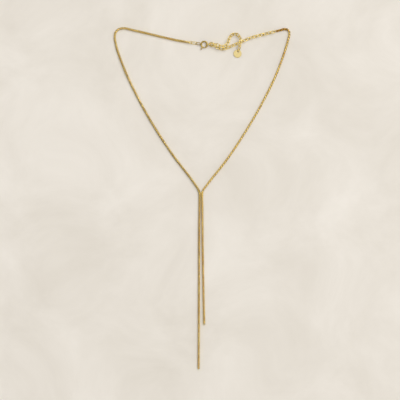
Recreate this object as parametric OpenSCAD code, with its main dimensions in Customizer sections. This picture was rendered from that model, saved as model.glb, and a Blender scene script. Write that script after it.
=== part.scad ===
// Fine Y necklace, lying clasped on a flat surface.
// +Z is up, +Y points from the drops to the clasp, and all sizes are millimetres.
// Two box chains run down to a small ring where they meet, and hang on as two drops of unequal length.
// A spring ring is hooked into the cable chain that adjusts the length, and a bare disc ends that chain.

/* [Main chain] */
// Width and height of the box chain
chain_w = 1.8; // [1.6:0.1:2.1]

/* [Extender chain] */
// Outer length of a link
link_l = 4.25; // [4:0.05:5]
// Outer width of a link
link_w = 3.0; // [2.8:0.1:3.2]
// Wire of a link
link_wire = 0.6; // [0.4:0.05:0.65]
// Least air between a link and the next, pulled tight
link_clearance = 0.2; // [0.15:0.05:0.3]

/* [Rings] */
// Outer diameter of the ring at each chain's end
end_ring_d = 2.6; // [2.3:0.1:3]
// Wire of that ring
end_ring_wire = 0.4; // [0.3:0.05:0.5]
// Outer length of the oval jump ring
jump_l = 4.9; // [4.3:0.1:6]
// Outer width of the oval jump ring
jump_w = 3.0; // [2.6:0.1:3]
// Wire of the jump ring
jump_wire = 0.5; // [0.4:0.05:0.6]
// Outer diameter of the ring that joins the two chains
y_ring_d = 2.5; // [2.3:0.1:3]
// Wire of that ring
y_ring_wire = 0.4; // [0.3:0.05:0.45]
// How far that ring leans up from the flat
y_ring_tilt = 55; // [45:5:70]
// Air round each ring where it passes through another piece
ring_clearance = 0.15; // [0.12:0.01:0.18]

/* [Clasp] */
// Outer diameter of the spring ring
clasp_d = 6; // [5.8:0.1:7]
// Diameter of its tube
clasp_tube = 1.1; // [1:0.05:1.2]
// Diameter of the bolt that slides in the tube
bolt_d = 0.6; // [0.5:0.05:0.65]
// Air between the bolt and its bore
bolt_clearance = 0.06; // [0.04:0.01:0.08]
// Width of the mouth, as an angle at the ring's centre
mouth_angle = 30; // [26:1:32]
// How far the bolt reaches into the catch, as an angle
catch_angle = 5; // [3:1:6]
// Width of the lever's neck
neck_w = 0.6; // [0.5:0.05:0.7]
// Height of the lever's neck
neck_h = 0.32; // [0.25:0.01:0.4]
// Diameter of the lever's knob
knob_d = 1.2; // [1:0.05:1.4]
// How far the knob reaches from the ring's centre
knob_reach = 4.9; // [4.6:0.1:5.3]
// Outer length of the clasp's eye
eye_l = 4.3; // [4:0.1:5]
// Outer width of the clasp's eye
eye_w = 2.2; // [2.1:0.1:2.4]
// Wire of the eye
eye_wire = 0.5; // [0.4:0.05:0.55]
// How deep the eye is soldered into the tube
eye_sink = 0.3; // [0.2:0.05:0.4]

/* [Tag] */
// Diameter of the disc
tag_d = 6.5; // [6:0.1:8]
// Thickness of the disc
tag_t = 0.5; // [0.4:0.05:0.6]
// Diameter of its hole
tag_hole_d = 1.7; // [1.6:0.05:1.9]
// Metal left between the hole and the edge
tag_bridge = 0.5; // [0.4:0.05:0.6]
// Outer diameter of the ring that carries the disc
tag_ring_d = 3.0; // [2.9:0.1:3.4]
// Wire of that ring
tag_ring_wire = 0.5; // [0.4:0.05:0.55]

/* [Hidden] */
gold = "#cfa960";
pale_gold = "#e0c98c";

// Where the spring ring lies, and the way its eye points
clasp_x = 2.0;
clasp_y = 123.1;
eye_angle = 172;

// Links lean by this much to either side, and lie a little higher, as if they leaned by the second angle
link_lean = 45;
rest_lean = 47;

// Heights at which the pieces rest
chain_z = chain_w / 2;
link_z = resting(link_w, link_wire, rest_lean);
link_layer = 2 * link_z;
hook_z = link_w / 2;
clasp_z = link_wire + clasp_tube / 2 + ring_clearance;

// Angles round the spring ring, anticlockwise from +X
mouth_end = 292;
mouth_start = mouth_end - mouth_angle;
lever_angle = 236;
bore_start = 130;
spare_angle = 2;
past_face = 1;
travel = mouth_angle + spare_angle;
bolt_tip = mouth_end + catch_angle;
catch_bottom = bolt_tip + spare_angle;
clasp_r = (clasp_d - clasp_tube) / 2;
bore_d = bolt_d + 2 * bolt_clearance;
slot_h = neck_h + 2 * bolt_clearance;
neck_half_angle = atan(neck_w / 2 / clasp_r);
slot_half_angle = neck_half_angle + spare_angle;

// Distances from the clasp's centre along the line of its eye
eye_at = clasp_d / 2 - eye_sink + eye_l / 2;
jump_near = eye_at + eye_l / 2 - eye_wire - ring_clearance - jump_wire;
jump_at = jump_near + jump_l / 2;
end_ring_near = jump_near + jump_l - jump_wire - ring_clearance - end_ring_wire;
end_ring_at = end_ring_near + end_ring_d / 2;
left_chain_at = end_ring_near + end_ring_d + ring_clearance;
eye_way = [cos(eye_angle), sin(eye_angle), 0];
clasp_c = [clasp_x, clasp_y, clasp_z];
jump_tilt = 50;

// The hooked link stands on its side round the tube, east of the clasp's centre
hook_at = clasp_r + (link_l - link_w) / 2 + ring_clearance;
hook_c = [clasp_x + hook_at, clasp_y, hook_z];

// In the fork the chains lie side by side, a little apart, to the left and right of its middle
fork_x = -0.7;
fork_left = fork_x - (chain_w + ring_clearance) / 2;
fork_right = fork_x + (chain_w + ring_clearance) / 2;

// Chosen points of each chain's way: across, along and how high its middle lies.
// A height of 0 is at rest on the surface, and 1 is one chain higher.
LEFT_WAY = [[-13, 125.3, 0.07], [-16, 125.8, 0.01], [-19, 126.3, 0], [-26, 127.8, 0], [-40, 131.1, 0],
            [-56, 134.8, 0], [-62.5, 136.1, 0], [-66.3, 135.3, 0], [-68.8, 132.9, 0], [-69.5, 128.6, 0],
            [-68.6, 123.1, 0], [-63.1, 106.6, 0], [-52.1, 82.6, 0], [-38.7, 58.6, 0], [-23, 34.6, 0],
            [-5.9, 12, 0], [-2.8, 7.3, 0], [fork_left, 4.2, 0], [fork_left, 2.6, 0]];
RIGHT_WAY = [[60, 133.9, 0.1], [61.2, 134.2, 0.03], [63, 134.6, 0.003], [66.8, 135.4, 0], [69.3, 134.4, 0],
             [70, 131.8, 0], [69.4, 128.1, 0], [67.9, 122.6, 0], [60.8, 102.2, 0], [49.4, 78.3, 0],
             [35.6, 54.4, 0], [19.5, 30.3, 0], [4.7, 11.5, 0], [1.5, 7.1, 0], [fork_right, 4.2, 0],
             [fork_right, 2.6, 0]];
LONG_WAY = [[fork_left, 2.5, 0], [-1.72, -4, 0], [-1.95, -23, 0], [-2.06, -40, 0], [-2.2, -80, 0],
            [-2.38, -120, 0], [-2.5, -136.4, 0]];
SHORT_WAY = [[fork_right, 2.5, 0], [0.42, -4, 0], [0.65, -23, 0], [0.85, -43, 0], [1.35, -72, 0],
             [1.95, -101, 0]];
LOOP_WAY = [[9, 122.4, 0.1], [11.5, 121.1, 0.2], [14, 120, 0.02], [17, 119.4, 0], [21.5, 120.9, 0],
            [27.5, 123.4, 0], [34, 126.3, 0], [38.5, 128.2, 0], [43.5, 129.7, 0], [48, 130.9, 0],
            [53, 132.1, 0]];
TAIL_WAY = [[9, 123.6, 0.9], [12, 122.9, 1.15], [16, 121.2, 1.1], [18.8, 121.7, 1.1], [20.6, 123.8, 0.9],
            [21.6, 126.8, 0.4], [23, 129.8, 0.05], [26.2, 131.8, 0], [29.4, 130.3, 0.3],
            [30.8, 127.6, 0.95], [30.7, 124.6, 1.2], [30.3, 122, 1], [29.6, 119.4, 0.35]];
steps_chain = 2;
steps_links = 8;

function unit(v) = v / norm(v);
// Height of a link's middle when it rests on the surface, leaning by an angle
function resting(width, wire, lean) = (width - wire) / 2 * sin(lean) + wire / 2;
// The way's points with their heights turned into millimetres
function raised(way, rest, layer) = [for (p = way) [p.x, p.y, rest + p.z * layer]];
// Direction of a smooth curve at one of its points, which leans towards the nearer neighbour
function heading(p, i) =
    i == 0 ? unit(p[1] - p[0]) :
    i == len(p) - 1 ? unit(p[i] - p[i - 1]) :
    let (a = p[i] - p[i - 1], b = p[i + 1] - p[i])
    unit(a * norm(b) / norm(a) + b * norm(a) / norm(b));
// A point between two of the chosen points, at the share t of the way
function between(p, i, t) =
    let (h = norm(p[i + 1] - p[i]))
    (1 + 2 * t) * (1 - t) * (1 - t) * p[i] + t * (1 - t) * (1 - t) * h * heading(p, i)
    + t * t * (3 - 2 * t) * p[i + 1] - t * t * (1 - t) * h * heading(p, i + 1);
function smooth(p, steps) =
    [for (i = [0:len(p) - 2]) for (k = [0:steps - 1]) between(p, i, k / steps), p[len(p) - 1]];
// Running lengths along a way, and the point at a given length
function lengths(q) =
    [for (i = 0, s = 0; i < len(q); s = s + norm(q[min(i + 1, len(q) - 1)] - q[i]), i = i + 1) s];
function at(q, s, d) = [for (k = [0:2]) lookup(d, [for (i = [0:len(q) - 1]) [s[i], q[i][k]]])];

// Links on a way: as few as reach its end, which may ask up to a fifth of a link more of them all
function links_on(way) = let (s = lengths(way)) ceil(s[len(s) - 1] / pitch_tight - 0.2);
// Links lean by turns, but for the first ones beside the hooked link, which stands upright
FIRST_LEANS = [-4, 70, -44];
function lean_of(i, side) =
    side * (i < len(FIRST_LEANS) ? FIRST_LEANS[i] : i % 2 == 0 ? -link_lean : link_lean);

left_way = concat([clasp_c + left_chain_at * eye_way], raised(LEFT_WAY, chain_z, chain_w));
right_way = raised(RIGHT_WAY, chain_z, chain_w);
right_dir = unit(right_way[0] - right_way[1]);
right_ring_c = right_way[0] + right_dir * (end_ring_d / 2 + ring_clearance);
// How far a chain of links stops short of what its last link is hooked round
pitch_tight = link_l - 2 * link_wire - link_clearance;
reach = link_l / 2 - link_wire / 2 - pitch_tight / 2;
loop_end = right_way[0] + right_dir * (end_ring_d - end_ring_wire - link_wire / 2 + reach);
// Both stretches pass through the hooked link's far end, the tail above the loop
stack = 0.15 * (link_w - link_wire);
tail_rise = 30;
hook_seat = hook_c.x + (link_l - link_w) / 2 + reach + ring_clearance;
start_y = clasp_y + ring_clearance;
loop_start = [hook_seat, start_y, hook_z - stack];
tail_start = [hook_seat, start_y, hook_z + stack + reach * sin(tail_rise)];
loop_way = smooth(concat([loop_start], raised(LOOP_WAY, link_z, link_layer), [loop_end]), steps_links);
tail_way = smooth(concat([tail_start], raised(TAIL_WAY, link_z, link_layer)), steps_links);

// The tag's ring is hooked into the last link of the tail, and the disc slopes from it down to the surface
tail_last = len(tail_way) - 1;
tail_dir = unit(tail_way[tail_last] - tail_way[tail_last - 1]);
tag_ring_r = (tag_ring_d - tag_ring_wire) / 2;
tag_ring_tilt = 70;
tag_ring_lean = -sign(lean_of(links_on(tail_way) - 1, -1)) * tag_ring_tilt;
tag_ring_c = tail_way[tail_last]
    + tail_dir * (reach - (link_wire + tag_ring_wire) / 2 - ring_clearance + tag_ring_r);
tag_hole_c = tag_ring_c + tail_dir * tag_ring_r;
tag_reach = tag_d - tag_bridge - tag_hole_d / 2;
tag_slope = asin((tag_hole_c.z - tag_t / 2) / tag_reach);
tag_bevel = 0.1;

// One closed eight-sided tube along a way, with a flat side down
module tube(way) {
    q = smooth(way, steps_chain);
    sides = 8;
    r = chain_w / 2 / cos(180 / sides);
    rings = len(q);
    points = [for (i = [0:rings - 1])
        let (t = unit(q[min(i + 1, rings - 1)] - q[max(i - 1, 0)]))
        let (across = unit(cross([0, 0, 1], t)), up = cross(t, across))
        for (k = [0:sides - 1])
            let (a = (k + 0.5) * 360 / sides)
            q[i] + r * (across * cos(a) + up * sin(a))];
    faces = concat(
        [[for (k = [0:sides - 1]) k]],
        [[for (k = [0:sides - 1]) rings * sides - 1 - k]],
        [for (i = [0:rings - 2]) for (k = [0:sides - 1])
            let (n = (k + 1) % sides)
            [i * sides + k, (i + 1) * sides + k, (i + 1) * sides + n, i * sides + n]]);
    polyhedron(points, faces, convexity = 6);
}

module round_ring(d, wire) rotate_extrude() translate([(d - wire) / 2, 0]) circle(d = wire);

// An oval ring of round wire in the XY plane, long along X
module oval_ring(length, width, wire) {
    half = (length - width) / 2;
    r = (width - wire) / 2;
    for (e = [-1, 1]) {
        translate([e * half, 0, 0]) rotate([0, 0, -90 * e])
            rotate_extrude(angle = 180) translate([r, 0]) circle(d = wire);
        translate([-half, e * r, 0]) rotate([0, 90, 0]) cylinder(h = 2 * half, d = wire);
    }
}

// Puts a piece at a point, with its X axis along a direction, leaning round it by an angle
module laid(p, dir, lean = 0)
    translate(p) rotate([lean, -asin(unit(dir).z), atan2(dir.y, dir.x)]) children();

// A stretch of the extender along a way
module links(way, side) {
    s = lengths(way);
    count = links_on(way);
    pitch = s[len(s) - 1] / count;
    for (i = [0:count - 1]) {
        a = at(way, s, i * pitch);
        b = at(way, s, (i + 1) * pitch);
        laid((a + b) / 2, b - a, lean_of(i, side)) oval_ring(link_l, link_w, link_wire);
    }
}

// The ring that joins the chains leans in the fork, with its lowest point under the chains' middle
module y_ring_place() {
    fork_y = LEFT_WAY[len(LEFT_WAY) - 2].y;
    lowest = chain_w / 4;
    translate([fork_x, fork_y, lowest + (y_ring_d - y_ring_wire) / 2 * sin(y_ring_tilt)])
        rotate([y_ring_tilt, 0, 0]) children();
}

module y_ring() color(pale_gold) y_ring_place() round_ring(y_ring_d, y_ring_wire);

module threaded(way) difference() {
    tube(way);
    y_ring_place() round_ring(y_ring_d + 2 * ring_clearance, y_ring_wire + 2 * ring_clearance);
}

module side_left() color(gold) threaded(left_way);
module side_right() color(gold) threaded(right_way);
module drop_long() color(gold) tube(raised(LONG_WAY, chain_z, chain_w));
module drop_short() color(gold) tube(raised(SHORT_WAY, chain_z, chain_w));

module end_ring_left() color(pale_gold)
    translate(clasp_c + end_ring_at * eye_way) round_ring(end_ring_d, end_ring_wire);

module end_ring_right() color(pale_gold)
    laid(right_ring_c, -right_dir, -lean_of(links_on(loop_way) - 1, 1)) round_ring(end_ring_d, end_ring_wire);

module jump_ring() color(pale_gold)
    laid(clasp_c + jump_at * eye_way, eye_way, -jump_tilt) oval_ring(jump_l, jump_w, jump_wire);

// A stretch of a round bar bent to the spring ring's centre line
module bent_bar(from, to, d)
    rotate([0, 0, from]) rotate_extrude(angle = to - from) translate([clasp_r, 0]) circle(d = d);

module clasp_body() color(pale_gold) translate(clasp_c) difference() {
    union() {
        bent_bar(mouth_end, mouth_start + 360, clasp_tube);
        rotate([0, 0, eye_angle]) translate([eye_at, 0, 0]) oval_ring(eye_l, eye_w, eye_wire);
    }
    bent_bar(bore_start, mouth_start + past_face, bore_d);
    bent_bar(mouth_end - past_face, catch_bottom, bore_d);
    rotate([0, 0, lever_angle - travel - slot_half_angle])
        rotate_extrude(angle = travel + 2 * slot_half_angle)
            translate([clasp_r, -slot_h / 2]) square([clasp_tube, slot_h]);
}

module clasp_bolt() color(gold) translate(clasp_c) {
    bent_bar(lever_angle - neck_half_angle - spare_angle, bolt_tip, bolt_d);
    rotate([0, 0, lever_angle]) {
        translate([clasp_r, -neck_w / 2, -neck_h / 2])
            cube([knob_reach - knob_d / 2 - clasp_r, neck_w, neck_h]);
        translate([knob_reach - knob_d / 2, 0, 0]) sphere(d = knob_d);
    }
}

module extender() color(pale_gold) {
    laid(hook_c, [1, 0, 0], 90) oval_ring(link_l, link_w, link_wire);
    links(loop_way, 1);
    links(tail_way, -1);
}

module tag_ring() color(pale_gold)
    laid(tag_ring_c, tail_dir, tag_ring_lean) round_ring(tag_ring_d, tag_ring_wire);

module tag() color(gold)
    translate(tag_hole_c) rotate([0, tag_slope, atan2(tail_dir.y, tail_dir.x)]) difference() {
        translate([tag_reach - tag_d / 2, 0, -tag_t / 2]) rotate_extrude()
            polygon([[0, 0], [tag_d / 2 - tag_bevel, 0], [tag_d / 2, tag_bevel],
                     [tag_d / 2, tag_t - tag_bevel], [tag_d / 2 - tag_bevel, tag_t], [0, tag_t]]);
        cylinder(h = 2 * tag_t, d = tag_hole_d, center = true);
    }

side_left();
side_right();
drop_long();
drop_short();
y_ring();
end_ring_left();
end_ring_right();
jump_ring();
clasp_body();
clasp_bolt();
extender();
tag_ring();
tag();
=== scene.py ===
# %% [markdown]
# # A fine Y necklace, lying clasped
# Two box chains run down from a spring ring clasp to a small ring, and hang on as two drops of unequal
# length. A cable chain of oval links adjusts the length and ends in a bare disc.
# The solid model gives every piece's place. Here each piece gets its real surface: folded box links
# in place of plain tubes, wire rings with their butt joints, a tumbled disc, and gold plating on all.

# %% Load the solid model as a fixed frame
import bpy
import numpy as np
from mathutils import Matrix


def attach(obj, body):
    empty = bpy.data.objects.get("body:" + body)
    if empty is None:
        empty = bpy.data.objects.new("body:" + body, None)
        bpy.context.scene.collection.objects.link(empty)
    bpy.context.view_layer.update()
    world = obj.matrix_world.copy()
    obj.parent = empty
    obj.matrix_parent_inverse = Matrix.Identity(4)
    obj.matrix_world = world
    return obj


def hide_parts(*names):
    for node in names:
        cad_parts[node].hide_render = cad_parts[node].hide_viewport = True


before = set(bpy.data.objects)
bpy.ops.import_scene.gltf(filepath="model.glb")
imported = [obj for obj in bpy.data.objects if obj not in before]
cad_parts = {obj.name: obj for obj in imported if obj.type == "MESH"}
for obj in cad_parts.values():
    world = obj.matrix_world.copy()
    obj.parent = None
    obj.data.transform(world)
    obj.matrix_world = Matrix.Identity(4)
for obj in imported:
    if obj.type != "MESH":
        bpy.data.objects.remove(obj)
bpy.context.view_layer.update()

MM = 0.001
random = np.random.default_rng(seed=7)
scene = bpy.context.scene
print("nodes:", sorted(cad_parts))

# %% [markdown]
# ## The camera
# The picture is taken straight down. A camera could be orthographic, but a long lens far above gives
# the same flat look and still lets raised pieces hide their shadows a little, as a real one does.

# %% Set the camera over the necklace
# the floor that the picture shows from side to side, how far above it the camera is, and where it aims
FIELD_WIDTH = 320 * MM
CAMERA_HEIGHT = 1500 * MM
AIM_X, AIM_Y = -1.4 * MM, -1.2 * MM
SENSOR = 36.0

camera_data = bpy.data.cameras.new("camera")
camera_data.sensor_width = SENSOR
camera_data.lens = SENSOR * CAMERA_HEIGHT / FIELD_WIDTH
camera = bpy.data.objects.new("camera", camera_data)
camera.location = (AIM_X, AIM_Y, CAMERA_HEIGHT)
scene.collection.objects.link(camera)
scene.camera = camera
print("lens in mm:", round(camera_data.lens, 1))

# %% [markdown]
# ## Helpers for meshes
# Every new piece is worked out as whole arrays: a shape is a grid of points, and the faces join each
# grid point to its neighbours. A grid that closes both ways is a ring, which needs no end caps.

# %% Put arrays into a mesh
SMOOTH_ANGLE = np.radians(50)


def make_piece(name, points, faces, attributes=None):
    """A mesh object at the origin from points (n, 3) and four-sided faces (m, 4), shaded smooth
    except at edges sharper than the smooth angle. Attributes are one number a point."""
    mesh = bpy.data.meshes.new(name)
    mesh.from_pydata(points.tolist(), [], faces.tolist())
    for key, values in (attributes or {}).items():
        attribute = mesh.attributes.new(key, "FLOAT", "POINT")
        attribute.data.foreach_set("value", values.astype(np.float32))
    mesh.shade_smooth()
    mesh.set_sharp_from_angle(angle=SMOOTH_ANGLE)
    piece = bpy.data.objects.new(name, mesh)
    scene.collection.objects.link(piece)
    print(f"{name}: {len(points)} points, {len(faces)} faces")
    return piece


def ring_faces(rows, columns):
    """Faces of a grid of rows by columns that closes on itself in both directions."""
    row, column = np.meshgrid(np.arange(rows), np.arange(columns), indexing="ij")
    next_row, next_column = (row + 1) % rows, (column + 1) % columns
    corners = [row * columns + column, next_row * columns + column,
               next_row * columns + next_column, row * columns + next_column]
    return np.stack(corners, -1).reshape(-1, 4)


def repeated(faces, points_each, copies):
    """The faces of one shape, repeated for each of its copies."""
    return (faces[None] + np.arange(copies)[:, None, None] * points_each).reshape(-1, 4)


def unit(vectors):
    """Vectors at length one."""
    return vectors / np.linalg.norm(vectors, axis=-1, keepdims=True)


# %% [markdown]
# ## The chains' ways
# The chains lie where the solid tubes lie, so the ways are the same listed points. A smooth curve
# joins them, whose direction at each point leans towards the nearer neighbour. Straight lines through
# many more points would do as well, but a curve needs only the points where the chain changes its
# bend.

# %% Listed points of the four chains
CHAIN_WIDTH = 1.8 * MM
# the left chain starts this far from the clasp's middle, on the line through its eye
CLASP_MIDDLE = np.array([2.0, 123.1, 1.3]) * MM
EYE_ANGLE = np.radians(172)
LEFT_CHAIN_AT = 12.45 * MM
# where the two chains pass the fork's ring, across in mm
FORK_LEFT, FORK_RIGHT = -1.675, 0.275

# columns: across in mm, along in mm, and how high the middle lies, where 0 is at rest on the surface
# and 1 is one chain higher
LEFT_WAY = [[-13, 125.3, 0.07], [-16, 125.8, 0.01], [-19, 126.3, 0], [-26, 127.8, 0],
            [-40, 131.1, 0], [-56, 134.8, 0], [-62.5, 136.1, 0], [-66.3, 135.3, 0],
            [-68.8, 132.9, 0], [-69.5, 128.6, 0], [-68.6, 123.1, 0], [-63.1, 106.6, 0],
            [-52.1, 82.6, 0], [-38.7, 58.6, 0], [-23, 34.6, 0], [-5.9, 12, 0],
            [-2.8, 7.3, 0], [FORK_LEFT, 4.2, 0], [FORK_LEFT, 2.6, 0]]
RIGHT_WAY = [[60, 133.9, 0.1], [61.2, 134.2, 0.03], [63, 134.6, 0.003], [66.8, 135.4, 0],
             [69.3, 134.4, 0], [70, 131.8, 0], [69.4, 128.1, 0], [67.9, 122.6, 0],
             [60.8, 102.2, 0], [49.4, 78.3, 0], [35.6, 54.4, 0], [19.5, 30.3, 0],
             [4.7, 11.5, 0], [1.5, 7.1, 0], [FORK_RIGHT, 4.2, 0], [FORK_RIGHT, 2.6, 0]]
LONG_WAY = [[FORK_LEFT, 2.5, 0], [-1.72, -4, 0], [-1.95, -23, 0], [-2.06, -40, 0],
            [-2.2, -80, 0], [-2.38, -120, 0], [-2.5, -136.4, 0]]
SHORT_WAY = [[FORK_RIGHT, 2.5, 0], [0.42, -4, 0], [0.65, -23, 0], [0.85, -43, 0],
             [1.35, -72, 0], [1.95, -101, 0]]
print("points of the side chains:", len(LEFT_WAY), "and", len(RIGHT_WAY))
print("points of the drops:", len(LONG_WAY), "and", len(SHORT_WAY))

# %% Join the points by smooth curves
WAY_STEPS = 12


def in_metres(way):
    """Listed points in metres, with each height counted from the chain's rest height."""
    points = np.array(way, float)
    points[:, 2] = CHAIN_WIDTH / MM * (0.5 + points[:, 2])
    return points * MM


def smooth_way(points):
    """Cubic curve through the points. At each one its direction is the sum of the directions of the
    two chords beside it, each weighed by the other chord's length, and its speed on each side is
    that side's chord."""
    chord = np.diff(points, axis=0)
    length = np.linalg.norm(chord, axis=1, keepdims=True)
    inner = unit(chord[:-1] * length[1:] / length[:-1] + chord[1:] * length[:-1] / length[1:])
    heading = np.vstack([unit(chord[:1]), inner, unit(chord[-1:])])
    t = np.linspace(0, 1, WAY_STEPS, endpoint=False)[None, :, None]
    start, end = points[:-1, None], points[1:, None]
    h = length[:, None]
    curve = ((1 + 2 * t) * (1 - t) ** 2 * start + t * (1 - t) ** 2 * h * heading[:-1, None]
             + t * t * (3 - 2 * t) * end - t * t * (1 - t) * h * heading[1:, None])
    return np.vstack([curve.reshape(-1, 3), points[-1:]])


def running_length(way):
    """Length along a way up to each of its points."""
    return np.concatenate([[0], np.cumsum(np.linalg.norm(np.diff(way, axis=0), axis=1))])


eye_way = np.array([np.cos(EYE_ANGLE), np.sin(EYE_ANGLE), 0])
left_start = CLASP_MIDDLE + LEFT_CHAIN_AT * eye_way
left_side = np.vstack([left_start, in_metres(LEFT_WAY)])
left_way = np.vstack([smooth_way(left_side), smooth_way(in_metres(LONG_WAY))])
right_way = np.vstack([smooth_way(in_metres(RIGHT_WAY)), smooth_way(in_metres(SHORT_WAY))])
for side, way in [("left", left_way), ("right", right_way)]:
    print(side, "chain with its drop, in mm:", round(running_length(way)[-1] / MM, 1))

# %% [markdown]
# ## The box chain
# A box chain is made of strips bent round into square loops, each turned a quarter from the next and
# hooked through it. One plain tube with a bump map would look the same from afar, but from near only
# real links show their windows. Each link is a square loop with cut corners, swept with a strip's
# section, and all links of a chain are one array: the same link laid at each place along the way.

# %% One box link
LINK_SIDE = 1.64 * MM
STRIP_THICKNESS = 0.24 * MM
STRIP_WIDTH = 0.94 * MM
# how far the strip's long edges are eased, and the loop's corners cut, outside and inside
STRIP_EDGE = 0.1 * MM
OUTER_CUT = 0.22 * MM
INNER_CUT = 0.07 * MM
# how loosely one link hangs in the next
LINK_PLAY = 0.02 * MM
LINK_PITCH = LINK_SIDE - 2 * STRIP_THICKNESS - LINK_PLAY
LOOP_CORNERS, SECTION_POINTS = 8, 6


def box_link():
    """Points (corners by section) of a square loop, long along x, with the strip's width along z.
    Corner: the half side less the cut, along x or y by turns. Section: the two inner edges, then the
    outer face between its cut edges. Also how deep in the link each point lies, from 0 outside to 1
    inside."""
    share = np.array([0, 0, 1, 1, 1, 1.0])
    inset = np.array([0, 0, 1, 0, 0, 1]) * STRIP_EDGE
    height = np.array([0.5, -0.5, -0.5, -0.5, 0.5, 0.5]) * STRIP_WIDTH
    height += np.array([0, 0, 0, 1, -1, 0]) * STRIP_EDGE
    half = LINK_SIDE / 2 - STRIP_THICKNESS * (1 - share) - inset
    cut = INNER_CUT + (OUTER_CUT - INNER_CUT) * share
    sign_x = np.array([1, 1, -1, -1, -1, -1, 1, 1])[:, None]
    sign_y = np.array([1, 1, 1, 1, -1, -1, -1, -1])[:, None]
    cut_x = np.array([0, 1, 1, 0, 0, 1, 1, 0])[:, None]
    x = sign_x * (half - cut * cut_x)
    y = sign_y * (half - cut * (1 - cut_x))
    points = np.stack([x, y, np.broadcast_to(height, x.shape)], -1).reshape(-1, 3)
    depth = np.broadcast_to(1 - share, x.shape).reshape(-1)
    return points, ring_faces(LOOP_CORNERS, SECTION_POINTS), depth


link_points, link_faces, link_depth = box_link()
print("one link:", len(link_faces), "faces; pitch in mm:", round(LINK_PITCH / MM, 2))

# %% [markdown]
# A box chain never lies quite flat: it rolls over slowly along its length, so its faces catch the light
# in some stretches and lose it in others. One roll for a whole chain would give an even line, so each
# chain has a short table of how far it is rolled at a few lengths along it. The first link is turned so
# that the end ring can pass through it. The links are also a little loose, and it is this play from link
# to link that makes a chain glitter in beads. A second table says how far each stretch is painted deeper
# and redder: partly wear of the plating, and partly painted shade, most at the right end and along the
# drops.

# %% How the chains are rolled and worn
# columns: length along the chain in mm, roll in degrees
LEFT_ROLL = [[0, 90], [8, 24], [48, 22], [60, 12], [76, 16], [130, 16], [180, 20], [230, 14],
             [360, 12]]
RIGHT_ROLL = [[0, 45], [2, 45], [8, 42], [11, -8], [60, -8], [120, -8], [160, -10], [280, -12]]
# columns: length along the chain in mm, share of the plating that is darkened, by wear and painted shade
LEFT_WEAR_AND_SHADE = [[0, 0.1], [20, 0.2], [50, 0.1], [64, 0], [80, 0.05], [190, 0.1], [230, 0.35],
             [280, 0.3], [360, 0.15]]
RIGHT_WEAR_AND_SHADE = [[0, 1], [8, 1], [11, 0.2], [90, 0], [155, 0.1], [200, 0.4], [280, 0.3]]
# the most that one link turns by itself, the most that the chain twists, and the length between twists
WOBBLE = np.radians(7)
TWIST = np.radians(7)
TWIST_SPAN = 5 * MM
# the most that one link's share of wear and painted shade differs from the table
WEAR_AND_SHADE_SPREAD = 0.5


def table_at(table, at):
    """A table's second column at lengths along the chain, straight between its rows."""
    return np.interp(at / MM, *np.array(table, float).T)


def points_at(way, at):
    """A way's points at lengths along it, straight between its own points and kept within its ends."""
    length = running_length(way)
    inside = np.clip(at, 0, length[-1])
    return np.stack([np.interp(inside, length, way[:, k]) for k in range(3)], -1)


for side, way, roll in [("left", left_way, LEFT_ROLL), ("right", right_way, RIGHT_ROLL)]:
    end_roll = table_at(roll, running_length(way)[-1])
    print(side, "drop's roll at its end, in degrees:", round(end_roll, 1))

# %% Lay the links along the chains
# keeps the lowest links out of the floor
LINK_LIFT = 0.005 * MM
# the first link's middle lies this far before its chain's start, where the end ring passes through
RING_HOOK = 0.06 * MM
# links above this line belong to a side chain, and those below it to its drop
FORK_Y = 2.55 * MM
# columns: side, drop, way, roll, wear and painted shade, spare links
CHAINS = [("left", "long", left_way, LEFT_ROLL, LEFT_WEAR_AND_SHADE, 0),
          ("right", "short", right_way, RIGHT_ROLL, RIGHT_WEAR_AND_SHADE, 1)]


def lay_links(way, roll, wear, spare, first, last):
    """Link middles at even steps from the first to the last length, as many as fit and the spare ones
    pressed in, so that the fork's ring meets a window and not a plate. Each one's frame is the way's
    direction, the level line across it, and the line square to both, rolled about the direction and
    turned a quarter more at every second link. Every roll but the first also gets a slow random twist
    and a random wobble of its own. Also how far each link is darkened by wear and painted shade, from
    the table and a random share."""
    end = running_length(way)[-1]
    count = int(round((last - first) / LINK_PITCH)) + 1 + spare
    at = np.linspace(first, last, count)
    forward = unit(points_at(way, at + LINK_PITCH / 2) - points_at(way, at - LINK_PITCH / 2))
    middle = points_at(way, at) + forward * (at - np.clip(at, 0, end))[:, None]
    middle[:, 2] += LINK_LIFT
    across = unit(np.cross([0, 0, 1.0], forward))
    up = np.cross(forward, across)
    turn = np.radians(table_at(roll, at) + 90 * (np.arange(count) % 2))[:, None]
    spans = np.arange(0, end + TWIST_SPAN, TWIST_SPAN)
    twist = np.interp(at, spans, random.uniform(-TWIST, TWIST, len(spans)))
    turn[1:, 0] += twist[1:] + random.uniform(-WOBBLE, WOBBLE, count - 1)
    wide = across * np.cos(turn) + up * np.sin(turn)
    thin = np.cross(forward, wide)
    axes = np.stack([forward, wide, thin], 1)
    # wear and painted shade: the table's value plus a random share for each link
    worn_and_shaded = table_at(wear, at) + random.uniform(-WEAR_AND_SHADE_SPREAD, WEAR_AND_SHADE_SPREAD, count)
    return middle[:, None] + np.einsum("va,nac->nvc", link_points, axes), np.clip(worn_and_shaded, 0, 1)


def chain_piece(name, links, worn_and_shaded):
    """One chain as a single mesh of its separate links, with each point's depth, and its wear and
    painted shade.
    """
    count = len(links)
    # the wear attribute carries both wear and painted shade
    attributes = {"depth": np.tile(link_depth, count), "wear": np.repeat(worn_and_shaded, len(link_depth))}
    faces = repeated(link_faces, len(link_points), count)
    piece = make_piece(name, links.reshape(-1, 3), faces, attributes)
    print(name, "links:", count)
    return piece


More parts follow.
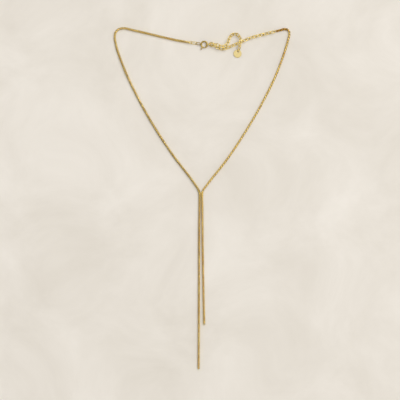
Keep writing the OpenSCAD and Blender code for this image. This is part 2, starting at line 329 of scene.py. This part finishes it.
chains = {}
for side, drop, way, roll, wear, spare in CHAINS:
    last = running_length(way)[-1] - LINK_SIDE / 2
    links, worn_and_shaded = lay_links(way, roll, wear, spare, -RING_HOOK, last)
    above = links[:, :, 1].mean(1) > FORK_Y
    chains["side_" + side] = chain_piece("box_chain_side_" + side, links[above], worn_and_shaded[above])
    chains["drop_" + drop] = chain_piece("box_chain_drop_" + drop, links[~above], worn_and_shaded[~above])

# %% [markdown]
# ## Wire rings and links
# Rings, jump rings and the extender's links are round wire bent shut, and their ends meet in a butt
# joint that shows as a fine groove. The solid model has the same rings without the joint. Their sizes
# could be repeated here, but each ring is measured instead, so that it stays true to its solid: its
# three main axes come from the spread of its points, and its length, width and wire from its reach
# along them.

# %% Measure the solid rings
# points closer than this count as one
MERGE_STEP = 0.0005 * MM


def loose_solids(node):
    """The separate solids of a node, each as its points. Points at one place are merged, and then every
    face hands its lowest label to its corners until nothing changes."""
    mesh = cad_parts[node].data
    points = np.empty(len(mesh.vertices) * 3, np.float32)
    mesh.vertices.foreach_get("co", points)
    corners = np.empty(len(mesh.loops), np.int32)
    mesh.loops.foreach_get("vertex_index", corners)
    steps = np.round(points.reshape(-1, 3) / MERGE_STEP)
    merged, where = np.unique(steps, axis=0, return_inverse=True)
    faces = where.reshape(-1)[corners].reshape(-1, 3)
    label = np.arange(len(merged))
    while True:
        lowest = label.copy()
        for k in range(3):
            np.minimum.at(lowest, faces[:, k], label[faces].min(1))
        lowest = lowest[lowest]
        if (lowest == label).all():
            break
        label = lowest
    return [merged[label == solid] * MERGE_STEP for solid in np.unique(label)]


def ring_place(points):
    """Middle, axes (long, wide, thin) and reach along each, of one ring's points."""
    middle = points.mean(0)
    spread = np.linalg.eigh((points - middle).T @ (points - middle))[1].T[::-1]
    spread[2] = np.cross(spread[0], spread[1])
    local = (points - middle) @ spread.T
    low, high = local.min(0), local.max(0)
    return middle + (low + high) / 2 @ spread, spread, high - low


link_places = [ring_place(points) for points in loose_solids("extender")]
link_size = np.mean([size for _, _, size in link_places], 0)
print("extender links:", len(link_places))
print("their length, width and wire in mm:", np.round(link_size / MM, 2))

# %% [markdown]
# A wire ring is a round section carried along an oval: two half circles joined by straight sides. The
# groove of the butt joint is a dip in the wire's radius at one place along the oval, and a number on
# each point says how near the joint is, which the finish uses to darken it. A bevelled curve would give
# the wire as well, but the number would have to be worked out again from its mesh.

# %% Wire rings as swept ovals
WIRE_SIDES = 14
RING_STEPS = 44
# how strongly the steps crowd at the joint, where 0 is even and 1 would put two in one place
JOINT_CROWDING = 0.9
# the dip as a share of the wire's radius, and its width along the wire
JOINT_DEPTH = 0.14
JOINT_WIDTH = 0.05 * MM


def wire_ring(place, joint_at):
    """Points (steps by sides) of round wire along an oval. The oval's length round is shared over two
    straight sides and two half circles, and steps crowd towards the joint, where the wire's radius
    dips by the depth times a bell curve of the distance from it. Also the bell curve's value."""
    middle, axes, size = place
    wire = size[2] / 2
    bend = size[1] / 2 - wire
    straight = max(size[0] - size[1], 0)
    total = 2 * straight + 2 * np.pi * bend
    even = np.arange(RING_STEPS) / RING_STEPS
    crowded = even - JOINT_CROWDING * np.sin(2 * np.pi * even) / (2 * np.pi)
    s = (crowded + joint_at) % 1 * total
    on_top = s < straight + np.pi * bend
    half = np.where(on_top, s, s - straight - np.pi * bend)
    turn = np.clip((half - straight) / bend, 0, np.pi)
    x = straight / 2 - np.minimum(half, straight) - bend * np.sin(turn)
    y = bend * np.cos(turn)
    flip = np.where(on_top, 1, -1)
    path = np.stack([x * flip, y * flip], -1)
    normal = np.stack([-np.sin(turn) * flip, np.cos(turn) * flip], -1)
    from_joint = np.abs((s / total - joint_at + 0.5) % 1 - 0.5) * total
    bell = np.exp(-(from_joint / JOINT_WIDTH) ** 2)
    radius = wire * (1 - JOINT_DEPTH * bell)
    a = np.arange(WIRE_SIDES) / WIRE_SIDES * 2 * np.pi
    out = radius[:, None] * np.cos(a)
    local = np.concatenate([path[:, None] + normal[:, None] * out[:, :, None],
                            (radius[:, None] * np.sin(a))[:, :, None]], -1)
    points = middle + local.reshape(-1, 3) @ axes
    return points, np.repeat(bell, WIRE_SIDES)


def wire_piece(name, places, joints):
    """One mesh of separate wire rings, each with its joint at a share of its length round."""
    made = [wire_ring(place, joint) for place, joint in zip(places, joints)]
    faces = repeated(ring_faces(RING_STEPS, WIRE_SIDES), RING_STEPS * WIRE_SIDES, len(made))
    points = np.concatenate([points for points, _ in made])
    return make_piece(name, points, faces, {"joint": np.concatenate([bell for _, bell in made])})


# %% The extender's links, each with its joint in the middle of one straight side or the other
# a link's straight side, and the radius of its bends up to the wire's middle
LINK_STRAIGHT = 1.25 * MM
LINK_BEND = 1.2 * MM

straight_share = LINK_STRAIGHT / (2 * LINK_STRAIGHT + 2 * np.pi * LINK_BEND)
link_joints = straight_share / 2 + random.integers(0, 2, len(link_places)) * 0.5
extender = wire_piece("cable_chain", link_places, link_joints)

# %% The single rings
RINGS = ["y_ring", "end_ring_left", "end_ring_right", "jump_ring", "tag_ring"]
RING_JOINT_AT = 0.1

rings = {}
for node in RINGS:
    place = ring_place(loose_solids(node)[0])
    rings[node] = wire_piece(node.replace("_ring", "_wire_ring"), [place], [RING_JOINT_AT])
    print(node, "size in mm:", np.round(place[2] / MM, 2))

# %% [markdown]
# ## The disc
# The disc is stamped from sheet and tumbled, so its edges are soft and its face is very slightly
# crowned. A lathe shape can't have the hole off its middle. So each section runs from the hole's wall
# over the top face to the rim and back below, and the sections fan out round the hole.

# %% Measure the solid disc
EDGE_ROUND = 0.1 * MM
# directions in which the disc's width is taken, over half a turn
SPIN_STEPS = 181


def disc_place():
    """The disc's middle, its axes (towards the hole, across, out of the face), its radius and thickness,
    how far off the middle the hole is, and the hole's radius, all read off the solid."""
    points = loose_solids("tag")[0]
    flat, axes, _ = ring_place(points)
    normal = axes[2] * np.sign(axes[2][2])
    spin = np.linspace(0, np.pi, SPIN_STEPS)
    first = unit(np.cross([0, 1.0, 0], normal))
    second = np.cross(normal, first)
    around = np.outer(np.cos(spin), first) + np.outer(np.sin(spin), second)
    reach = around @ (points - flat).T
    middle = flat + np.linalg.lstsq(around, (reach.max(1) + reach.min(1)) / 2, rcond=None)[0]
    radius = (reach.max(1) - reach.min(1)).mean() / 2
    level = points - middle
    level = level - np.outer(level @ normal, normal)
    inner = np.linalg.norm(level, axis=1) < radius - 2 * EDGE_ROUND
    hole = level[inner].mean(0)
    towards = unit(hole)
    return {"middle": middle, "axes": np.array([towards, np.cross(normal, towards), normal]),
            "radius": radius, "thickness": np.ptp((points - middle) @ normal),
            "hole off": np.linalg.norm(hole),
            "hole radius": np.linalg.norm(level[inner] - hole, axis=1).mean()}


tag_place = disc_place()
for key in ("radius", "thickness", "hole off", "hole radius"):
    print("disc's", key, "in mm:", round(tag_place[key] / MM, 2))

# %% The disc as a fan of rounded sections
DISC_STEPS = 96
QUARTER_STEPS = 4
FACE_STEPS = 6
FACE_CROWN = 0.03 * MM


def disc_points(place):
    """Sections fan out at even angles round the hole. Each starts on the hole's circle and ends on the
    rim, where its length is the chord's root. A quarter round eases each edge, and the crown lifts
    the face by a cosine of the distance from the disc's middle."""
    radius, off = place["radius"], place["hole off"]
    a = np.arange(DISC_STEPS)[:, None] / DISC_STEPS * 2 * np.pi
    to_rim = -off * np.cos(a) + np.sqrt(radius ** 2 - (off * np.sin(a)) ** 2)
    quarter = np.linspace(0, np.pi / 2, QUARTER_STEPS)
    ease = EDGE_ROUND * (1 - np.cos(quarter))
    drop = EDGE_ROUND * (1 - np.sin(quarter))
    flat_share = np.linspace(0, 1, FACE_STEPS + 2)[1:-1]
    inner = place["hole radius"] + ease + 0 * a
    outer = to_rim - ease[::-1]
    face = inner[:, -1:] + (outer[:, :1] - inner[:, -1:]) * flat_share
    out = np.concatenate([inner, face, outer], 1)
    level = place["thickness"] / 2 - np.concatenate([drop, 0 * flat_share, drop[::-1]])
    height = np.broadcast_to(level, out.shape)
    x, y = off + out * np.cos(a), out * np.sin(a)
    crown = FACE_CROWN * (np.cos(np.pi / 2 * np.minimum(np.hypot(x, y) / radius, 1)) - 1)
    top = np.stack([x, y, height + crown], -1)
    under = (top * [1, 1, -1])[:, ::-1]
    local = np.concatenate([top, under], 1)
    return place["middle"] + local.reshape(-1, 3) @ place["axes"], local.shape[1]


tag_points, tag_columns = disc_points(tag_place)
# a section runs from the hole over the top, so the grid's faces look inwards until their corners are
# read the other way round
tag_faces = ring_faces(DISC_STEPS, tag_columns)[:, ::-1]
disc = make_piece("bare_disc", tag_points, tag_faces)

# %% [markdown]
# ## Colours and nodes
# A colour is written as a hex value as a screen shows it, and one function turns it linear for the
# shader. One small function adds a shader node with its settings and links. A mix node has several
# sockets of one name, so its colour sockets are called by number.

# %% Helpers for materials
MIX_A, MIX_B, MIX_COLOUR = 6, 7, 2


def linear(hex_colour):
    """A hex colour as linear red, green, blue and full alpha: the standard screen curve undone."""
    screen = np.array([int(hex_colour[i:i + 2], 16) for i in (1, 3, 5)]) / 255
    value = np.where(screen <= 0.04045, screen / 12.92, ((screen + 0.055) / 1.055) ** 2.4)
    return (*value.tolist(), 1.0)


def add_node(tree, kind, settings=None, inputs=None):
    """Adds a node, sets its properties, and sets or links its inputs by name or number."""
    node = tree.nodes.new(kind)
    for name, value in (settings or {}).items():
        setattr(node, name, value)
    for name, value in (inputs or {}).items():
        if isinstance(value, bpy.types.NodeSocket):
            tree.links.new(value, node.inputs[name])
        else:
            node.inputs[name].default_value = value
    return node


def new_material(name):
    """An empty node material, its tree, its output node and the place of each point on the piece."""
    material = bpy.data.materials.new(name)
    material.use_nodes = True
    tree = material.node_tree
    tree.nodes.clear()
    output = add_node(tree, "ShaderNodeOutputMaterial")
    where = add_node(tree, "ShaderNodeTexCoord").outputs["Object"]
    return material, tree, output, where


# %% [markdown]
# ## Gold plating
# All the metal is brass with a thin coat of yellow gold. Real plating is not one flat colour: it is
# redder where it is thin, and paler where it is burnished. The box links' folds get painted shade.
# One plain gold would do from afar. Here every finish mixes a deeper and a paler gold in soft patches,
# and then adds the marks of how its own metal was made. What the four have in common is their last
# step: a fine grain makes the mirror duller here and there, and a bump presses the marks in.

# %% The plated surface
def plate(tree, output, colour, grain, dullness, height, strength, relief):
    """Ends a finish as plated metal: the grain picks the roughness between the two ends of dullness,
    and the height is pressed in and out by the relief, in metres, times the strength."""
    dull = add_node(tree, "ShaderNodeMapRange", None,
                    {"Value": grain, "To Min": dullness[0], "To Max": dullness[1]})
    bump = add_node(tree, "ShaderNodeBump", None,
                    {"Strength": strength, "Distance": relief, "Height": height})
    shader = add_node(tree, "ShaderNodeBsdfPrincipled", None,
                      {"Base Color": colour, "Metallic": 1.0,
                       "Roughness": dull.outputs["Result"], "Normal": bump.outputs["Normal"]})
    tree.links.new(shader.outputs["BSDF"], output.inputs["Surface"])


# %% [markdown]
# The box links are bent from rolled strip, whose flat faces are small mirrors. Their painted shade in
# the folds and their darker stretches could be painted on an image, but two numbers on each point do it
# from
# the shape: how deep the point lies in its link, which sets the painted shade there, and how far that
# link is darkened by wear and painted shade.

# %% Rolled strip of the box chain
def rolled_gold_strip():
    """Gold plating on rolled brass strip: pale where it is whole, redder where the wear table marks wear
    and painted shade, and darker inside the links as painted shade."""
    material, tree, output, where = new_material("rolled_gold_strip")
    depth = add_node(tree, "ShaderNodeAttribute", {"attribute_name": "depth"}).outputs["Fac"]
    wear = add_node(tree, "ShaderNodeAttribute", {"attribute_name": "wear"}).outputs["Fac"]
    # patches of thinner plating, about 6 mm across
    patches = add_node(tree, "ShaderNodeTexNoise", None,
                       {"Vector": where, "Scale": 160.0, "Detail": 3.0}).outputs["Fac"]
    # rolling lines and fine scratches, drawn 0.2 mm wide so that they show
    scratches = add_node(tree, "ShaderNodeTexNoise", None,
                         {"Vector": where, "Scale": 5000.0, "Detail": 2.0}).outputs["Fac"]
    bright = add_node(tree, "ShaderNodeMix", {"data_type": "RGBA"},
                      {0: patches, MIX_A: linear("#eac458"), MIX_B: linear("#fce48e")})
    # the wear table reddens the gold, partly as wear and partly as painted shade
    worn_and_shaded = add_node(tree, "ShaderNodeMix", {"data_type": "RGBA"},
                    {0: wear, MIX_A: bright.outputs[MIX_COLOUR], MIX_B: linear("#ce9c3c")})
    # painted shade: the gold darkens towards the inside of each link, by how deep each point lies
    colour = add_node(tree, "ShaderNodeMix", {"data_type": "RGBA"},
                      {0: depth, MIX_A: worn_and_shaded.outputs[MIX_COLOUR], MIX_B: linear("#886830")})
    plate(tree, output, colour.outputs[MIX_COLOUR], scratches, (0.08, 0.2),
          scratches, strength=0.25, relief=0.02 * MM)
    return material


strip = rolled_gold_strip()
print(strip.name, "nodes:", len(strip.node_tree.nodes))

# %% [markdown]
# The rings and links are drawn wire, bent round a former and closed. The former leaves faint marks, and
# the butt joint stays dark. The joint could be cut as a real gap, but the number that the wire's shape
# put on each point is enough to darken it.

# %% Drawn wire of the rings and links
def drawn_gold_wire():
    """Gold plating on drawn brass wire: smooth, with the former's faint marks and a dark butt joint."""
    material, tree, output, where = new_material("drawn_gold_wire")
    joint = add_node(tree, "ShaderNodeAttribute", {"attribute_name": "joint"}).outputs["Fac"]
    # patches of thinner plating, about 3 mm across
    patches = add_node(tree, "ShaderNodeTexNoise", None,
                       {"Vector": where, "Scale": 320.0, "Detail": 3.0}).outputs["Fac"]
    # marks of the former, about 0.3 mm across
    marks = add_node(tree, "ShaderNodeTexNoise", None,
                     {"Vector": where, "Scale": 3200.0, "Detail": 2.0}).outputs["Fac"]
    bright = add_node(tree, "ShaderNodeMix", {"data_type": "RGBA"},
                      {0: patches, MIX_A: linear("#e6ca74"), MIX_B: linear("#f8e49a")})
    colour = add_node(tree, "ShaderNodeMix", {"data_type": "RGBA"},
                      {0: joint, MIX_A: bright.outputs[MIX_COLOUR], MIX_B: linear("#6e4a22")})
    plate(tree, output, colour.outputs[MIX_COLOUR], marks, (0.14, 0.28),
          marks, strength=0.2, relief=0.02 * MM)
    return material


wire = drawn_gold_wire()
print(wire.name, "nodes:", len(wire.node_tree.nodes))

# %% [markdown]
# The clasp is bent from drawn tube and polished last. Both its golds are painted deeper than the
# others', as painted shade, since it shows as the darkest piece. Its solids carry no numbers of their
# own, and need
# none: the finish reads only where each point lies.

# %% Drawn tube of the clasp
def polished_gold_tube():
    """Gold plating on the clasp's polished tube and bolt: the deepest gold, as painted shade, with fine
    wear.
    """
    material, tree, output, where = new_material("polished_gold_tube")
    # patches of thinner plating, about 2 mm across
    patches = add_node(tree, "ShaderNodeTexNoise", None,
                       {"Vector": where, "Scale": 500.0, "Detail": 3.0}).outputs["Fac"]
    # fine scratches from wear, drawn 0.15 mm wide so that they show
    wear = add_node(tree, "ShaderNodeTexNoise", None,
                    {"Vector": where, "Scale": 6500.0, "Detail": 3.0}).outputs["Fac"]
    # both golds are painted deep as painted shade; the patches between them are thinner plating
    colour = add_node(tree, "ShaderNodeMix", {"data_type": "RGBA"},
                      {0: patches, MIX_A: linear("#8c7434"), MIX_B: linear("#c2a65a")})
    plate(tree, output, colour.outputs[MIX_COLOUR], wear, (0.08, 0.2),
          wear, strength=0.15, relief=0.01 * MM)
    return material


tube = polished_gold_tube()
print(tube.name, "nodes:", len(tube.node_tree.nodes))

# %% [markdown]
# The disc is tumbled among small stones, which leaves it satin, with soft dents and hairlines. Brushing
# would draw strong lines one way. Here the hairlines only lean one way, and the dents carry the look.

# %% Stamped sheet of the disc
def tumbled_gold_sheet():
    """Gold plating on a stamped and tumbled disc: satin, with soft dents and hairlines."""
    material, tree, output, where = new_material("tumbled_gold_sheet")
    # soft unevenness from tumbling, about 1.5 mm across
    dents = add_node(tree, "ShaderNodeTexNoise", None,
                     {"Vector": where, "Scale": 650.0, "Detail": 2.0}).outputs["Fac"]
    # hairlines: noise squeezed eight times finer one way, drawn 0.1 mm wide so that they show
    turned = add_node(tree, "ShaderNodeMapping", None,
                      {"Vector": where, "Rotation": (0.0, 0.0, 0.6), "Scale": (1.0, 8.0, 1.0)})
    hairlines = add_node(tree, "ShaderNodeTexNoise", None,
                         {"Vector": turned.outputs["Vector"], "Scale": 1200.0,
                          "Detail": 3.0}).outputs["Fac"]
    colour = add_node(tree, "ShaderNodeMix", {"data_type": "RGBA"},
                      {0: dents, MIX_A: linear("#c8b274"), MIX_B: linear("#d6c48e")})
    heights = add_node(tree, "ShaderNodeMath", {"operation": "ADD"}, {0: dents, 1: hairlines})
    plate(tree, output, colour.outputs[MIX_COLOUR], hairlines, (0.24, 0.42),
          heights.outputs["Value"], strength=0.3, relief=0.02 * MM)
    return material


sheet = tumbled_gold_sheet()
print(sheet.name, "nodes:", len(sheet.node_tree.nodes))

# %% [markdown]
# ## Dressing the pieces
# Each new piece stands for its solid and moves with that solid's body. The clasp's tube and bolt keep
# their solids, whose bore, slot and mouth are already exact, and take only the finish.

# %% Give every piece its finish, its body and its solid
def dress(piece, material, node):
    """Gives a new piece its finish and lets it stand for its node of the fixed body."""
    piece.data.materials.append(material)
    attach(piece, "root")
    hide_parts(node)


for node, piece in chains.items():
    dress(piece, strip, node)
for node, piece in rings.items():
    dress(piece, wire, node)
dress(extender, wire, "extender")
dress(disc, sheet, "tag")

CLASP_NODES = ["clasp_body", "clasp_bolt"]
for node in CLASP_NODES:
    for solid_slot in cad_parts[node].material_slots:
        solid_slot.material = tube
print("pieces dressed:", len(chains) + len(rings) + 2, "and solids finished:", len(CLASP_NODES))

# %% [markdown]
# ## The floor
# A plain pale floor, like fine plaster. It is quite level, and real dents would cost many faces. Broad,
# faint clouds between two near whites are enough to keep it from looking like a flat card.

# %% Floor
FLOOR_SIZE = 6.0


def smooth_plaster():
    """Pale plaster, matt, with broad faint clouds."""
    material, tree, output, where = new_material("smooth_plaster")
    # clouds about 70 mm across with softer, finer ones in them
    clouds = add_node(tree, "ShaderNodeTexNoise", None,
                      {"Vector": where, "Scale": 14.0, "Detail": 6.0,
                       "Roughness": 0.62, "Distortion": 0.6}).outputs["Fac"]
    colour = add_node(tree, "ShaderNodeMix", {"data_type": "RGBA"},
                      {0: clouds, MIX_A: linear("#d8d0c2"), MIX_B: linear("#fbf5ec")})
    shader = add_node(tree, "ShaderNodeBsdfPrincipled", None,
                      {"Base Color": colour.outputs[MIX_COLOUR], "Roughness": 0.9,
                       "Specular IOR Level": 0.2})
    tree.links.new(shader.outputs["BSDF"], output.inputs["Surface"])
    return material


floor_corners = np.array([[-1, -1, 0], [1, -1, 0], [1, 1, 0], [-1, 1, 0]]) * FLOOR_SIZE / 2
floor = make_piece("floor", floor_corners, np.array([[0, 1, 2, 3]]))
floor.data.materials.append(smooth_plaster())

# %% [markdown]
# ## Light
# Polished metal shows its surroundings more than its own colour. A wide soft panel overhead lights the
# floor and every level face, and a brighter, smaller window at the upper right draws sparks along that
# side of the chains and throws their soft shadows to the lower left. Two low panels, at the lower right
# and the upper left, glaze the chains' slopes, the right one more strongly. An even dim room keeps
# the rest from going black. One lamp alone would leave most faces of the links black.

# %% Lights and room
# columns: name, azimuth and elevation in degrees, distance, width and height in metres, brightness,
# colour
LIGHTS = [("overhead", 40, 80, 4.4, 6.0, 6.0, 1.18, "#ffffff"),
          ("key", 50, 50, 4.0, 2.4, 2.4, 3.0, "#ffffff"),
          ("low_right", -40, 14, 3.4, 4.0, 1.6, 1.6, "#fffaf2"),
          ("low_left", 140, 14, 3.4, 4.0, 1.6, 1.0, "#fffaf2")]
ROOM_COLOUR = "#f4f4f6"
ROOM_BRIGHTNESS = 0.25


def soft_window(name, azimuth, elevation, distance, width, height, brightness, colour):
    """A panel of light that looks at the necklace from a direction, with the azimuth counted from +X.
    Its power is the brightness a white card shows in its reflection, times pi, times its area."""
    data = bpy.data.lights.new(name, "AREA")
    data.shape = "RECTANGLE"
    data.size = width
    data.size_y = height
    data.energy = brightness * np.pi * width * height
    data.color = linear(colour)[:3]
    a, e = np.radians([azimuth, elevation])
    away = np.array([np.cos(a) * np.cos(e), np.sin(a) * np.cos(e), np.sin(e)])
    light = bpy.data.objects.new(name, data)
    light.location = away * distance
    light.rotation_euler = (np.pi / 2 - e, 0, a + np.pi / 2)
    scene.collection.objects.link(light)
    print(name, "at", np.round(away * distance, 2))


for light in LIGHTS:
    soft_window(*light)

world = bpy.data.worlds.new("room")
world.use_nodes = True
room = world.node_tree.nodes["Background"]
room.inputs["Color"].default_value = linear(ROOM_COLOUR)
room.inputs["Strength"].default_value = ROOM_BRIGHTNESS
scene.world = world
scene.view_settings.view_transform = "Standard"
